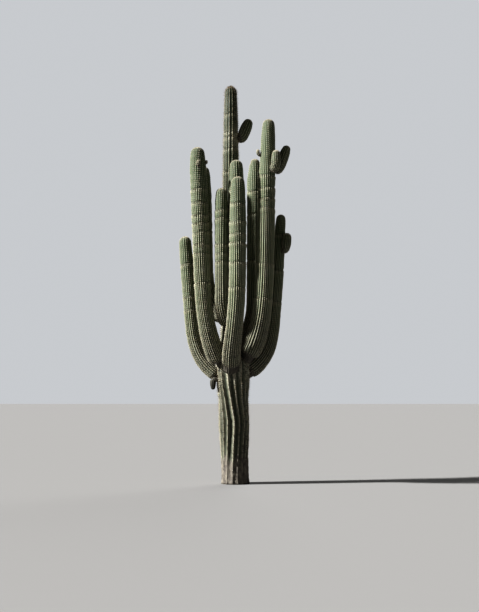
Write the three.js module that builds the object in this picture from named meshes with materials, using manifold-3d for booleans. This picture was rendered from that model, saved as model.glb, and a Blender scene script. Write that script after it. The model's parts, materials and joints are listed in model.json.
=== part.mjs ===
// A many-armed saguaro cactus, rooted in level ground, at its real size in millimetres.
// +Z is up, the origin is the middle of the flat cut under the trunk, and bearings are
// measured in degrees from +X towards +Y. The plant's front looks towards -Y.
import * as THREE from "three";
import { mergeVertices } from "three/addons/utils/BufferGeometryUtils.js";
import Module from "manifold-3d";

const wasm = await Module();
wasm.setup();

// Driving dimensions, in millimetres: the trunk
const plantHeight = 8180;
const tipDrift = 100; // how far the tip stands to the left of the foot
const driftPower = 2.2;
const trunkDome = 150;
const trunkGirth = [
  { height: 0, radius: 284 },
  { height: 430, radius: 277 },
  { height: 1150, radius: 308 },
  { height: 1650, radius: 305 },
  { height: 2280, radius: 352 },
  { height: 2750, radius: 275 },
  { height: 3150, radius: 232 },
  { height: 4400, radius: 198 },
  { height: 6100, radius: 172 },
  { height: 6900, radius: 157 },
  { height: 7600, radius: 142 },
  { height: plantHeight - trunkDome, radius: 126 },
];

// How finely the round forms are faceted
const trunkSides = 20;
const trunkStepsPerStation = 2;
const domeSteps = 4;
const armSides = 14;
const bendSteps = 5;
const uprightSteps = 8;
const budSides = 10;
const budSteps = 4;

// How limbs join and end
const clearance = 0.3; // left open between touching solids
const cutAllowance = 2 * clearance; // a parent is fattened by this to cut its limbs clear of it
const bendShare = 0.5; // the part of an arm's sweep that belongs to its bend
const ripenPower = 0.6;
const domeRatio = 1; // height of a rounded tip for each unit of its radius
const heelSteps = [-0.2, 0.02, 0.12, 0.4, 1]; // stations on a rounded heel, in heel lengths

// A limb leaves its parent's axis at the height root, runs out by reach while it climbs through
// sweep, and goes on to the height top, drifting out by lean for each unit it climbs. swing turns
// its bearing on the way. heel, belly and crown are its radii next to its parent, in the middle
// and just under the rounded tip, and it thins towards that tip over the length taper. pinch is
// how narrow its neck is beside its heel, where that differs from the other limbs.
const arms = [
  {
    name: "arm_far_left", bearing: 172, swing: 0, root: 1970, reach: 760, sweep: 1750,
    power: 4.5, lean: 0.085, top: 5030, heel: 152, belly: 138, crown: 123, taper: 500,
  },
  {
    name: "arm_left", bearing: 206, swing: 5, root: 1975, reach: 624, sweep: 2465,
    power: 3.4, lean: 0.048, top: 6760, heel: 196, belly: 168, crown: 142, taper: 350,
  },
  {
    name: "arm_back_left", bearing: 147, swing: 0, root: 3080, reach: 620, sweep: 1400,
    power: 2.6, lean: 0.03, top: 6580, heel: 155, belly: 147, crown: 112, taper: 500,
  },
  {
    name: "arm_mid_left", bearing: 245, swing: 0, root: 3035, reach: 486, sweep: 685,
    power: 2.4, lean: 0.012, top: 5905, heel: 159, belly: 137, crown: 112, taper: 400,
  },
  {
    name: "arm_front", bearing: 254, swing: 22, root: 2015, reach: 830, sweep: 2900,
    power: 3.8, lean: 0.022, top: 6030, heel: 185, belly: 166, crown: 131, taper: 850, pinch: 0.85,
  },
  {
    name: "arm_inner", bearing: 282, swing: 0, root: 3796, reach: 430, sweep: 1000,
    power: 4, lean: 0, top: 6500, heel: 145, belly: 160, crown: 128, taper: 380,
  },
  {
    name: "arm_back_right", bearing: 53, swing: 0, root: 2650, reach: 745, sweep: 1300,
    power: 3, lean: 0.01, top: 6815, heel: 160, belly: 168, crown: 98, taper: 380,
  },
  {
    name: "arm_right", bearing: -24, swing: -4.2, root: 2174, reach: 649, sweep: 2570,
    power: 4.3, lean: 0.034, top: 7361, heel: 216, belly: 189, crown: 123, taper: 2170,
    pinch: 0.62,
  },
  {
    name: "arm_far_right", bearing: 8, swing: 6, root: 2040, reach: 753, sweep: 1500,
    power: 3.9, lean: 0.08, top: 5515, heel: 169, belly: 142, crown: 93, taper: 1300,
    pinch: 0.7,
  },
];
const armHeel = { ratio: 0.6, pinch: 0.36, swellOver: 900 };

// Young arms, buds and a drooping stub, which grow from their parents by the same rule
const buds = [
  {
    name: "bud_trunk", parent: "trunk", bearing: 10, swing: 0, root: 7045, reach: 212, sweep: 120,
    power: 3, lean: 0.4, top: 7505, heel: 112, belly: 122, crown: 102, taper: 120,
  },
  {
    name: "bud_right_inner", parent: "arm_right", bearing: -52, swing: 0, root: 6248, reach: 262,
    sweep: 130, power: 3, lean: 0.06, top: 6657, heel: 92, belly: 97, crown: 80, taper: 120,
  },
  {
    name: "bud_right_outer", parent: "arm_right", bearing: 4, swing: 0, root: 6258, reach: 226,
    sweep: 120, power: 3, lean: 0.34, top: 6818, heel: 92, belly: 106, crown: 88, taper: 120,
  },
  {
    name: "bud_far_right", parent: "arm_far_right", bearing: -44, swing: 0, root: 4700, reach: 206,
    sweep: 110, power: 3, lean: 0.1, top: 5090, heel: 78, belly: 98, crown: 92, taper: 60,
  },
  {
    name: "bud_left", parent: "arm_left", bearing: 275, swing: 0, root: 6290, reach: 185, sweep: 90,
    power: 3, lean: 0.05, top: 6455, heel: 42, belly: 46, crown: 38, taper: 60,
  },
  {
    name: "knob_left", parent: "arm_left", bearing: -8, swing: 0, root: 6380, reach: 168, sweep: 70,
    power: 3, lean: 0.05, top: 6490, heel: 28, belly: 30, crown: 25, taper: 40,
  },
  {
    name: "knob_right", parent: "arm_right", bearing: 196, swing: 0, root: 6570, reach: 200, sweep: 80,
    power: 3, lean: 0.05, top: 6722, heel: 32, belly: 34, crown: 28, taper: 40,
  },
  {
    name: "stub_far_left", parent: "trunk", bearing: 186, swing: 0, root: 2100, reach: 408, sweep: 60,
    power: 3, lean: 0, top: 1868, heel: 62, belly: 66, crown: 46, taper: 110,
  },
];
const budHeel = { ratio: 0.9, pinch: 0.6, swellOver: 150 };

// The skin is a waxy grey green, paler on the young growth
const matureSkin = { color: 0x6c7759, roughness: 0.82, metalness: 0 };
const youngSkin = { color: 0x808c66, roughness: 0.78, metalness: 0 };

// The middle of the trunk at a height: it drifts to the left as it climbs
function trunkAxis(height) {
  const left = 1 - Math.max(1 - height / plantHeight, 0) ** driftPower;
  return new THREE.Vector3(-tipDrift * left, 0, height);
}

// The middle line of a limb that grows from a foot point on its parent's axis
class LimbCurve extends THREE.Curve {
  constructor(limb, foot) {
    super();
    this.limb = limb;
    this.foot = foot;
  }

  getPoint(t, target = new THREE.Vector3()) {
    const { limb, foot } = this;
    const climb = t * (limb.top - limb.root);
    const bend = 1 - (1 - Math.min(Math.abs(climb) / limb.sweep, 1)) ** limb.power;
    const distance = limb.reach * bend + limb.lean * climb;
    const bearing = THREE.MathUtils.degToRad(limb.bearing + limb.swing * bend);
    return target.set(
      foot.x + distance * Math.cos(bearing),
      foot.y + distance * Math.sin(bearing),
      foot.z + climb,
    );
  }

  // How far along the line a share of its climb is
  stationAtClimb(share) {
    const lengths = this.getLengths();
    return lengths[Math.round(share * (lengths.length - 1))];
  }

  // How far along the line it comes out of a parent of this radius
  stationOutOf(parentRadius) {
    const steps = this.getLengths().length - 1;
    const shares = Array.from({ length: steps + 1 }, (_, step) => step / steps);
    return this.stationAtClimb(shares.find((share) => {
      const { x, y } = this.getPoint(share).sub(this.foot);
      return Math.hypot(x, y) >= parentRadius;
    }));
  }
}

// The trunk's wall, as a curve of radius against height
const trunkWall = new THREE.SplineCurve(
  trunkGirth.map(({ height, radius }) => new THREE.Vector2(radius, height)),
);

// The trunk's radius at a height
function trunkRadius(height) {
  const wall = trunkWall.getPoints(trunkStepsPerStation * (trunkGirth.length - 1));
  const above = wall.findIndex(({ y }) => y >= height);
  const below = wall[above - 1];
  const share = (height - below.y) / (wall[above].y - below.y);
  return THREE.MathUtils.lerp(below.x, wall[above].x, share);
}

// A grown limb: its middle line and length, the station where it leaves its parent, and the
// length over which its heel rounds out
function grow(limb, foot, parentRadius, heel) {
  const curve = new LimbCurve(limb, foot);
  const seat = curve.stationOutOf(parentRadius);
  return { limb, curve, heel, length: curve.getLength(), seat, round: heel.ratio * limb.heel };
}

// A limb's radius at a station on its middle line
function limbRadius({ limb, heel, length, seat, round }, station) {
  const dome = domeRatio * limb.crown;
  const fromTip = length - station;
  if (fromTip < dome) {
    return limb.crown * Math.sqrt(1 - ((dome - fromTip) / dome) ** 2);
  }
  const swell = THREE.MathUtils.smoothstep(station, seat + round, seat + round + heel.swellOver);
  const body = THREE.MathUtils.lerp(limb.heel, limb.belly, swell);
  const rise = THREE.MathUtils.clamp((station - seat) / round, 0, 1);
  const neck = limb.pinch ?? heel.pinch;
  const pinch = THREE.MathUtils.lerp(neck, 1, Math.sqrt(1 - (1 - rise) ** 2));
  const ripe = THREE.MathUtils.clamp((fromTip - dome) / limb.taper, 0, 1) ** ripenPower;
  return pinch * THREE.MathUtils.lerp(limb.crown, body, ripe);
}

// Stations from a limb's buried root, round its heel and evenly on to another station
function rootStations({ seat, round }, to, steps) {
  const onHeel = heelSteps.map((share) => seat + share * round);
  return [0, ...onHeel, ...evenStations(seat + round, to, steps).slice(1)];
}

function evenStations(from, to, steps) {
  return Array.from({ length: steps + 1 }, (_, i) => THREE.MathUtils.lerp(from, to, i / steps));
}

// Stations over a limb's rounded tip, short of the tip itself
function domeStations({ limb, length }) {
  const dome = domeRatio * limb.crown;
  const turns = evenStations(0, Math.PI / 2, domeSteps).slice(1, -1);
  return turns.map((turn) => length - dome + dome * Math.sin(turn));
}

// Where a limb's wall ends and its rounded tip begins
function shoulder({ limb, length }) {
  return length - domeRatio * limb.crown;
}

// A lathe turned about its own Y axis, then laid along a curved middle line
function bentLathe(profile, sides, frameAt) {
  const lathe = new THREE.LatheGeometry(profile, sides);
  const place = lathe.getAttribute("position");
  for (let i = 0; i < place.count; i += 1) {
    const frame = frameAt(place.getY(i));
    const vertex = frame.middle
      .addScaledVector(frame.across, place.getX(i))
      .addScaledVector(frame.side, place.getZ(i));
    place.setXYZ(i, vertex.x, vertex.y, vertex.z);
  }
  return solidFrom(lathe);
}

// A closed geometry becomes a solid: only positions, shared corners, no collapsed triangles
function solidFrom(geometry) {
  geometry.deleteAttribute("normal");
  geometry.deleteAttribute("uv");
  const merged = mergeVertices(geometry, 0.001);
  const corners = merged.getIndex().array;
  const kept = [];
  for (let i = 0; i < corners.length; i += 3) {
    const [a, b, c] = corners.slice(i, i + 3);
    if (a !== b && b !== c && c !== a) {
      kept.push(a, b, c);
    }
  }
  return new wasm.Manifold(new wasm.Mesh({
    numProp: 3,
    vertProperties: new Float32Array(merged.getAttribute("position").array),
    triVerts: new Uint32Array(kept),
  }));
}

// A solid becomes a named mesh of the scene
function meshFrom(name, solid, skin) {
  const { vertProperties, triVerts } = solid.getMesh();
  const geometry = new THREE.BufferGeometry();
  geometry.setAttribute("position", new THREE.BufferAttribute(vertProperties, 3));
  geometry.setIndex(new THREE.BufferAttribute(triVerts, 1));
  geometry.computeVertexNormals();
  const mesh = new THREE.Mesh(geometry, new THREE.MeshStandardMaterial(skin));
  mesh.name = name;
  return mesh;
}

// The trunk, from its flat cut at the ground to its domed tip, made fatter by extra
function trunkSolid(extra) {
  const wall = trunkWall.getPoints(trunkStepsPerStation * (trunkGirth.length - 1));
  const rim = wall[wall.length - 1];
  const dome = new THREE.EllipseCurve(0, rim.y, rim.x, trunkDome, 0, Math.PI / 2)
    .getPoints(domeSteps)
    .slice(1, -1);
  const profile = [...wall, ...dome].map(({ x, y }) => new THREE.Vector2(x + extra, y));
  profile.unshift(new THREE.Vector2(0, 0));
  profile.push(new THREE.Vector2(0, plantHeight + extra));
  return bentLathe(profile, trunkSides, (height) => ({
    middle: trunkAxis(height),
    across: new THREE.Vector3(1, 0, 0),
    side: new THREE.Vector3(0, -1, 0),
  }));
}

// A stretch of a limb, through the given stations and made fatter by extra. It ends flat, or
// at the tip when the stations run over the dome.
function limbStretch(grown, stations, sides, extra) {
  const { limb, curve, length } = grown;
  const profile = stations.map((station) => (
    new THREE.Vector2(limbRadius(grown, station) + extra, station)
  ));
  const last = stations[stations.length - 1];
  profile.unshift(new THREE.Vector2(0, stations[0]));
  profile.push(new THREE.Vector2(0, last > shoulder(grown) ? length : last));
  const bearing = THREE.MathUtils.degToRad(limb.bearing + limb.swing / 2);
  const level = new THREE.Vector3(Math.sin(bearing), -Math.cos(bearing), 0);
  return bentLathe(profile, sides, (station) => {
    const along = Math.min(station / length, 1);
    const heading = curve.getTangentAt(along);
    const side = level.clone().addScaledVector(heading, -level.dot(heading)).normalize();
    const across = new THREE.Vector3().crossVectors(heading, side);
    return { middle: curve.getPointAt(along), across, side };
  });
}

// The stretch of an arm above its bend, made fatter by extra
function uprightSolid(grown, split, extra) {
  const stations = evenStations(split + clearance, shoulder(grown), uprightSteps);
  return limbStretch(grown, [...stations, ...domeStations(grown)], armSides, extra);
}

const plant = new THREE.Group();
plant.add(meshFrom("trunk", trunkSolid(0), matureSkin));
const trunkCutter = trunkSolid(cutAllowance);

// An arm is two solids, the bend that leaves the trunk and the upright above it
const parents = {};
for (const limb of arms) {
  const grown = grow(limb, trunkAxis(limb.root), trunkRadius(limb.root), armHeel);
  const split = grown.curve.stationAtClimb((bendShare * limb.sweep) / (limb.top - limb.root));
  const bend = limbStretch(grown, rootStations(grown, split, bendSteps), armSides, 0);
  const branch = new THREE.Group();
  branch.add(meshFrom(`${limb.name}_bend`, bend.subtract(trunkCutter), matureSkin));
  branch.add(meshFrom(`${limb.name}_upright`, uprightSolid(grown, split, 0), matureSkin));
  plant.add(branch);
  parents[limb.name] = { branch, grown, split };
}

// Where a bud sits: its foot on its parent's axis, the parent's radius there, and what cuts it
function perch({ parent, root }) {
  if (parent === "trunk") {
    return { branch: plant, foot: trunkAxis(root), radius: trunkRadius(root), cutter: trunkCutter };
  }
  const { branch, grown, split } = parents[parent];
  const share = (root - grown.limb.root) / (grown.limb.top - grown.limb.root);
  return {
    branch,
    foot: grown.curve.getPoint(share),
    radius: limbRadius(grown, grown.curve.stationAtClimb(share)),
    cutter: uprightSolid(grown, split, cutAllowance),
  };
}

// A bud is one solid, cut clear of the arm or trunk that carries it
for (const limb of buds) {
  const { branch, foot, radius, cutter } = perch(limb);
  const bud = grow(limb, foot, radius, budHeel);
  const stations = [...rootStations(bud, shoulder(bud), budSteps), ...domeStations(bud)];
  branch.add(meshFrom(limb.name, limbStretch(bud, stations, budSides, 0).subtract(cutter), youngSkin));
}

export default plant;
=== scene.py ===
import json
import math

import bpy
import numpy as np
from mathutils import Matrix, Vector, noise

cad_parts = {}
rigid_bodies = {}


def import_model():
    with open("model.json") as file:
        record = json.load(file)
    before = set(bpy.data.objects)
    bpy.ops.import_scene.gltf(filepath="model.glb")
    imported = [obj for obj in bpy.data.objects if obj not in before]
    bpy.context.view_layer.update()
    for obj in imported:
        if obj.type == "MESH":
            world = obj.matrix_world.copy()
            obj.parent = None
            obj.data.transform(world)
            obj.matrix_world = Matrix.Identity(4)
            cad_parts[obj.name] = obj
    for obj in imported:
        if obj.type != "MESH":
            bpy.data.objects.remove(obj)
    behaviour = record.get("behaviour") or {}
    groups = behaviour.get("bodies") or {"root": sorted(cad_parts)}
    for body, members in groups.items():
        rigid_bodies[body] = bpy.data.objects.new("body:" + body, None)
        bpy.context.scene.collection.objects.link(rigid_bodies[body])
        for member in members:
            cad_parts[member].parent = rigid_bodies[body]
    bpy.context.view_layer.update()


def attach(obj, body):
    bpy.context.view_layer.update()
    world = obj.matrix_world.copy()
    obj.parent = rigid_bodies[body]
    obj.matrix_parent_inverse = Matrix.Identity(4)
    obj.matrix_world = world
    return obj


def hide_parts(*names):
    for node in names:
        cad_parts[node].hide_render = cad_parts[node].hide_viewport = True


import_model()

# The camera stands at a walker's eye height on the level ground in front of the plant, and
# looks up a little so that the whole plant fits the picture.
EYE_HEIGHT = 1.6
CAMERA_DISTANCE = 18.0
CAMERA_TO_THE_RIGHT = 0.081
LOOK_UP = math.radians(6.24)
LENS = 52.16  # millimetres, on a sensor 36 mm high
FARTHEST_SEEN = 3000

bpy.ops.object.camera_add(
    location=(CAMERA_TO_THE_RIGHT, -CAMERA_DISTANCE, EYE_HEIGHT),
    rotation=(math.pi / 2 + LOOK_UP, 0, 0),
)
camera = bpy.context.object
camera.data.lens = LENS
camera.data.clip_end = FARTHEST_SEEN
bpy.context.scene.camera = camera
bpy.context.scene.view_settings.view_transform = "Standard"
bpy.context.scene.view_settings.look = "High Contrast"
bpy.context.scene.view_settings.exposure = 0.3

# The trunk is one fat column of watery flesh in a waxy skin, pleated from the ground to the tip
# so that it can swell after rain. It is corky near the ground, and thickest at the fork.
# Its skin is a grid rolled up along the trunk's middle line, with a crest for each pleat.
PLANT_HEIGHT = 8.18
TIP_DRIFT = 0.1
DRIFT_POWER = 2.2
TRUNK_DOME = 0.15
TRUNK_GIRTH = [  # height and radius
    (0.0, 0.284),
    (0.43, 0.277),
    (1.15, 0.308),
    (1.65, 0.305),
    (2.28, 0.352),
    (2.75, 0.275),
    (3.15, 0.232),
    (4.4, 0.198),
    (6.1, 0.172),
    (6.9, 0.157),
    (7.6, 0.142),
    (PLANT_HEIGHT - TRUNK_DOME, 0.126),
]
GIRTH_STEPS = 12
TRUNK_RIBS = 16
RIB_TURNS = [  # height, and how far round the crests stand there, in degrees
    (0.0, -13.0),
    (0.5, -10.0),
    (1.2, 0.0),
    (1.45, -4.5),
    (2.1, -16.0),
    (3.2, -10.0),
    (5.0, 6.0),
    (PLANT_HEIGHT, 14.0),
]
FRONT_CREST = math.radians(-91)  # bearing of the crest that faces the camera, 1.2 m up
FORKS = [  # bearing, height and size of the places where limbs leave the trunk
    (172, 2.19, 0.1),
    (208, 2.49, 0.12),
    (147, 3.26, 0.1),
    (245, 3.2, 0.1),
    (262, 2.36, 0.15),
    (282, 3.97, 0.1),
    (53, 2.89, 0.1),
    (-30, 2.57, 0.13),
    (11, 2.26, 0.1),
    (10, 7.08, 0.07),
    (186, 2.08, 0.03),
]
TRUNK_RINGS = [  # height, and depth as a share of the trunk's radius
    (4.5, 0.03),
    (5.3, 0.04),
    (6.38, 0.05),
    (6.86, 0.05),
    (7.09, 0.04),
    (7.21, 0.05),
    (7.61, 0.05),
]
FORK_REACH = 0.055  # how far the skin is crumpled, and darkened with painted shade, round a fork
CALLUS_LIGHT_REACH = 0.17  # how far a pale callus, which is partly painted light, spreads round it
CORK_BAND = (0.05, 0.95)  # heights over which the cork gives way to green skin
ROW_GAP = 0.032
RING_ROW_GAP = 0.008
RING_REACH = 0.09  # how far a growth ring shapes the skin above and below it
RING_WIDTH = 0.018
RING_WOBBLE = 0.012
RING_DIP = 0.03  # how much lower a ring lies in the furrows than on the crests
RING_SHARE = 0.85  # a ring's mean depth, as a share of the depth it is given
RING_SWING = 0.25  # how much deeper and shallower than that it gets round the limb
WOBBLE_SHIFT = 7  # these two start each ring's wobble and swing at another place
SWING_SHIFT = 11
SWELLING_BELOW = 0.052
SWELLING_WIDTH = 0.034
SWELLING_SHARE = 0.6  # how far it stands out, as a share of its ring's depth
YEAR_PACES = (17, 29, 43)  # waves of girth up a limb, in radians for a metre
YEAR_SWELL = 0.006
QUICK_SWAYS = ((0.14, 3, 1), (0.08, 7, 3))  # how far crests stray, waves round, phases
SLOW_SWAY = 0.22
SLOW_PACE = 1.9  # radians for a metre
SOFT_LUMPS = (0.12, 0.004)  # size and height
FINE_LUMPS = (0.035, 0.001)
CORK_LUMPS = 0.009  # how much higher the fine lumps are on cork
CRUMPLES = (0.05, 0.022)  # size and height of the lumps round a fork
CRUMPLE_SINK = 0.008
CORK_FILLS = 0.6  # how much shallower the pleats are under cork
SMOOTH_RADIUS = 0.05  # a limb thinner than this is smoother
PLUMP_TIP = 0.35  # how deep the pleats are near a tip, for each unit of depth lower down
PLUMP_ZONE = (0.5, 2.8)  # distances from the tip over which the pleats deepen
DOME_ROWS = 14
LINE_STEPS = 400
SEAM_GAP = 0.00005  # points of the skin closer than this are made one
AREOLE_STEPS = 2000
TIP_MARGIN = 0.0001
AREOLE_GAP = 0.042
TIP_GAP = 0.018
TIP_ZONE = 0.34
WOOLLY_TIP = 0.055
SHED_BAND = (0.2, 1.1)  # heights over which more and more areoles keep their spines
OVER_BEFORE = (-1.0, 0.0)  # a change that is over before a limb starts


def ease(value, start, end):
    """0 up to the start, 1 from the end on, and a smooth rise between them."""
    share = np.clip((value - start) / (end - start), 0, 1)
    return share * share * (3 - 2 * share)


def smooth_line(points, steps):
    """A line of points that runs smoothly through the given ones, steps to a stretch."""
    known = np.array([points[0], *points, points[-1]], float)
    share = np.linspace(0, 1, steps, endpoint=False)[:, None]
    stretches = []
    for before, start, end, after in zip(known, known[1:], known[2:], known[3:]):
        leave, arrive = (end - before) / 2, (after - start) / 2
        stretches.append(
            start
            + leave * share
            + (3 * (end - start) - 2 * leave - arrive) * share**2
            + (2 * (start - end) + leave + arrive) * share**3
        )
    return np.concatenate([*stretches, known[-1:]])


trunk_wall = smooth_line(TRUNK_GIRTH, GIRTH_STEPS)


def trunk_radius(height):
    """How far the crests stand from the trunk's middle line, down to 0 at the tip."""
    rim = PLANT_HEIGHT - TRUNK_DOME
    over = np.clip((height - rim) / TRUNK_DOME, 0, 1)
    return np.interp(height, trunk_wall[:, 0], trunk_wall[:, 1]) * np.sqrt(1 - over**2)


def trunk_axis(height):
    """The trunk's middle line, which drifts to the left towards the tip."""
    left = 1 - np.maximum(1 - height / PLANT_HEIGHT, 0) ** DRIFT_POWER
    return np.stack([-TIP_DRIFT * left, np.zeros_like(left), height], -1)


def lumps(points, size):
    """Soft unevenness between -1 and 1, in lumps of about that size."""
    flat = [noise.noise(Vector(point) / size) for point in points.reshape(-1, 3)]
    return np.array(flat).reshape(points.shape[:-1])


def above_ring(ring, station, round_it, pleat):
    """How far a place on the skin lies above a growth ring, which wavers and dips in furrows."""
    wobble = RING_WOBBLE * np.sin(round_it + ring * WOBBLE_SHIFT)
    return station - ring + wobble + RING_DIP * (1 - pleat)


def notch_at(above):
    return np.exp(-((above / RING_WIDTH) ** 2))


def swelling_at(above):
    return np.exp(-(((above + SWELLING_BELOW) / SWELLING_WIDTH) ** 2))


def waists(limb, station, round_it, pleat):
    """How growth rings and uneven years change a limb's girth: a notch with a swelling below."""
    girth = np.ones_like(station)
    for ring, depth in limb["rings"]:
        above = above_ring(ring, station, round_it, pleat)
        depth = depth * (RING_SHARE + RING_SWING * np.sin(2 * round_it + ring * SWING_SHIFT))
        girth = girth - depth * notch_at(above) + SWELLING_SHARE * depth * swelling_at(above)
    years = [np.sin(station * pace + k * limb["phase"]) for k, pace in enumerate(YEAR_PACES, 2)]
    return girth + YEAR_SWELL * sum(years)


def fork_closeness(limb, points, reach):
    """1 where another limb leaves this one, falling to 0 beyond the reach."""
    close = np.zeros(points.shape[:-1])
    for place, size in limb["forks"]:
        away = np.maximum(np.linalg.norm(points - place, axis=-1) - size, 0)
        close = np.maximum(close, np.exp(-((away / reach) ** 2)))
    return close


def line_at(limb, key, station):
    """The limb's middle line, or a way of the frame along it, at a station."""
    return np.stack([np.interp(station, limb["at"], limb[key][:, axis]) for axis in range(3)], -1)


def nearest_crest(limb, rib):
    """The number of the crest that a place counted in ribs belongs to."""
    return np.rint(rib).astype(int) % limb["ribs"]


def pleat_height(limb, rib):
    """1 on a crest and 0 in a furrow, with a narrow crest between hollow flanks."""
    return (1 - 2 * np.abs(rib - np.rint(rib))) ** limb["hollow"]


def sway(limb, station, round_it):
    """How far the crests stray aside, in ribs, on a limb that is as uneven as can be."""
    phase = limb["phase"]
    quick = sum(size * np.sin(waves * round_it + k * phase) for size, waves, k in QUICK_SWAYS)
    return quick + SLOW_SWAY * np.sin(station * SLOW_PACE + phase) * np.sin(2 * round_it + 5 * phase)


def unevenness(limb, surface, corky):
    """How far the skin stands out in soft lumps, in cork and in the crumples round a fork."""
    soft, fine, crumple = (lumps(surface, size) for size, _ in (SOFT_LUMPS, FINE_LUMPS, CRUMPLES))
    rough = soft * SOFT_LUMPS[1] + fine * (FINE_LUMPS[1] + CORK_LUMPS * corky)
    return rough + fork_closeness(limb, surface, FORK_REACH) * (crumple * CRUMPLES[1] - CRUMPLE_SINK)


def skin_at(limb, station, rib):
    """Points of a limb's skin, at stations along it and at places counted in ribs round it."""
    round_it = 2 * math.pi * rib / limb["ribs"]
    strayed = rib + limb["uneven"] * sway(limb, station, round_it)
    turn = (2 * math.pi * strayed / limb["ribs"] + limb["turn"](station))[..., None]
    across, side = (line_at(limb, key, station) for key in ("across", "side"))
    outward = np.cos(turn) * across + np.sin(turn) * side
    pleat = pleat_height(limb, rib)
    crest = limb["radius"](station) * waists(limb, station, round_it, pleat)
    surface = line_at(limb, "middle", station) + outward * crest[..., None]
    corky = 1 - ease(station, *limb["cork"])
    plump = PLUMP_TIP + (1 - PLUMP_TIP) * ease(limb["length"] - station, *PLUMP_ZONE)
    depth = limb["pleat"] * 2 * math.pi * crest / limb["ribs"] * (1 - CORK_FILLS * corky) * plump
    rough = unevenness(limb, surface, corky) * np.minimum(crest / SMOOTH_RADIUS, 1)
    lift = rough - depth * (1 - pleat * limb["rises"][nearest_crest(limb, rib)])
    return surface + outward * lift[..., None]


def limb_rows(limb):
    """Stations from a limb's buried foot to its tip, closer together over the rounded tip."""
    shoulder = limb["length"] - limb["dome"]
    count = round((shoulder - limb["start"]) / ROW_GAP)
    wall = np.linspace(limb["start"], shoulder, count + 1)
    near = np.arange(-RING_REACH, RING_REACH, RING_ROW_GAP)
    extra = np.concatenate([*(ring + near for ring, _ in limb["rings"]), wall])
    extra = np.sort(extra[(extra >= limb["start"]) & (extra <= shoulder)])
    wall = extra[np.concatenate([[True], np.diff(extra) > RING_ROW_GAP / 3])]
    wall[-1] = shoulder
    turns = np.linspace(0, math.pi / 2, DOME_ROWS + 1)[1:]
    return np.concatenate([wall[:1], wall, shoulder + limb["dome"] * np.sin(turns)])


def plan_areoles(limb, first, wild):
    """Where areoles sit: how far apart down a crest, from the first station on, and how far
    each crest's row is shifted."""
    line = np.linspace(first, limb["length"] - TIP_MARGIN, AREOLE_STEPS)
    run = np.concatenate([[0], np.cumsum(np.hypot(np.diff(line), np.diff(limb["radius"](line))))])
    spots = [0.0]
    while spots[-1] < run[-1]:
        near_tip = ease(spots[-1], run[-1] - TIP_ZONE, run[-1])
        spots.append(spots[-1] + AREOLE_GAP + (TIP_GAP - AREOLE_GAP) * near_tip)
    shift = wild.uniform(-0.5, 0.5, limb["ribs"]) * AREOLE_GAP
    limb.update(line=line, run=run, spots=np.array(spots[:-1]), shift=shift)


def areole_beat(limb, station, rib):
    """How many areoles lie below a place on the skin, as a fraction between two of them."""
    run = np.interp(station, limb["line"], limb["run"]) - limb["shift"][nearest_crest(limb, rib)]
    return np.interp(run, limb["spots"], np.arange(len(limb["spots"])))


def skin_layers(limb, points, station, rib):
    """What sets the looks of every point of the skin, for the materials to read."""
    from_tip = limb["length"] - station
    pleat = pleat_height(limb, rib)
    round_it = 2 * math.pi * rib / limb["ribs"]
    above = [above_ring(ring, station, round_it, pleat) for ring, _ in limb["rings"]]
    heel = 1 - ease(station, *limb["crease"])
    return {
        "crest": pleat,
        "cork": 1 - ease(station, *limb["cork"]),
        "old": 1 - ease(station, *limb["old"]),
        "young": 1 - ease(from_tip, 0.0, limb["fresh"]),
        "wool": 1 - ease(from_tip, 0.0, WOOLLY_TIP),
        # the crease is where painted shade darkens the skin round forks and at each arm's heel
        "crease": np.maximum(fork_closeness(limb, points, FORK_REACH), heel),
        # the callus marks a pale patch round each fork, which is partly painted light
        "callus": fork_closeness(limb, points, CALLUS_LIGHT_REACH),
        "band": sum((swelling_at(place) for place in above), np.zeros_like(station)),
        # the notch marks where painted shade lies in each growth ring
        "notch": sum((notch_at(place) for place in above), np.zeros_like(station)),
        "beat": areole_beat(limb, station, rib),
    }


def roll_skin(name, limb):
    """A grid, rolled up round the limb and closed at both ends."""
    rows = limb_rows(limb)
    bpy.ops.object.select_all(action="DESELECT")
    bpy.ops.mesh.primitive_grid_add(
        x_subdivisions=limb["ribs"] * limb["columns"],
        y_subdivisions=len(rows) - 1,
        size=1,
        location=(0, 0, 0),
    )
    skin = bpy.context.object
    skin.name = skin.data.name = name
    flat = np.zeros(len(skin.data.vertices) * 3, np.float32)
    skin.data.vertices.foreach_get("co", flat)
    rib = (flat[0::3] + 0.5) * limb["ribs"]
    row = np.rint((flat[1::3] + 0.5) * (len(rows) - 1)).astype(int)
    station = rows[row]
    points = skin_at(limb, station, rib)
    ends = (row == 0) | (row == len(rows) - 1)
    points[ends] = line_at(limb, "middle", station[ends])
    skin.data.vertices.foreach_set("co", points.astype(np.float32).ravel())
    for key, values in skin_layers(limb, points, station, rib).items():
        layer = skin.data.attributes.new(key, "FLOAT", "POINT")
        layer.data.foreach_set("value", values.astype(np.float32))
    bpy.ops.object.mode_set(mode="EDIT")
    bpy.ops.mesh.select_all(action="SELECT")
    bpy.ops.mesh.remove_doubles(threshold=SEAM_GAP)
    bpy.ops.mesh.normals_make_consistent(inside=False)
    bpy.ops.object.mode_set(mode="OBJECT")
    bpy.ops.object.shade_smooth()
    return skin


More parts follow.
